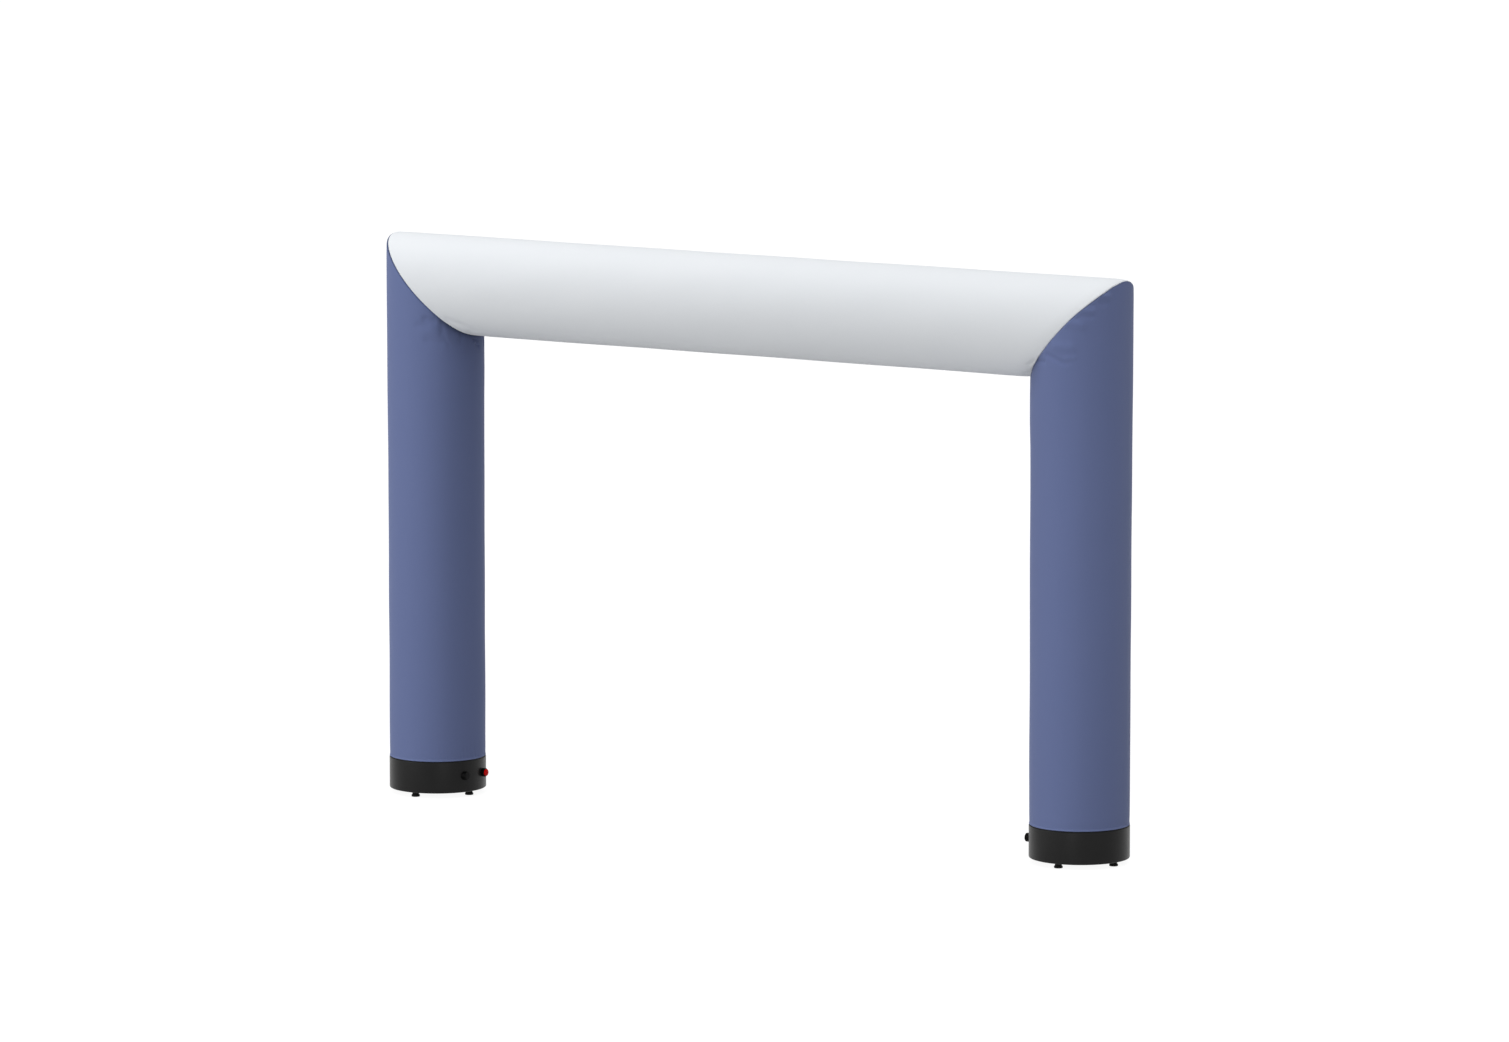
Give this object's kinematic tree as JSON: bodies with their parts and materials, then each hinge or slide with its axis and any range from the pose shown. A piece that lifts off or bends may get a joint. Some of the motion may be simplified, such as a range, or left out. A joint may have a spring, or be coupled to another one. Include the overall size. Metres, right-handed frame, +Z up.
{
  "type": "inflatable arch",
  "caption": "Air-filled cloth arch: upright tubes and a mitred beam that frame a gateway, standing on round base drums with rubber feet.",
  "frame": {"origin": "on the ground, midway between the axes of the legs", "axes": "+X along the beam, from the left leg to the right one as seen from the front; +Y through the archway, from front to back; +Z up"},
  "size_m": [6.053, 0.7072, 4.0045],
  "materials": {
    "blue_cloth": "matt coated woven polyester",
    "white_cloth": "matt coated woven polyester",
    "black_plastic": "fine-grained moulded plastic",
    "black_rubber": "matt rubber",
    "red_plastic": "glossy moulded plastic"
  },
  "bodies": {
    "root": {"leg_left": "blue_cloth", "leg_right": "blue_cloth", "beam": "white_cloth", "drum_left": "black_plastic", "drum_right": "black_plastic", "port_left": "black_plastic", "port_right": "black_plastic", "cap_collar_left": "black_plastic", "cap_red_left": "red_plastic", "foot_left_1": "black_rubber", "foot_left_2": "black_rubber", "foot_left_3": "black_rubber", "foot_left_4": "black_rubber", "foot_right_1": "black_rubber", "foot_right_2": "black_rubber", "foot_right_3": "black_rubber", "foot_right_4": "black_rubber"}
  },
  "joints": []
}
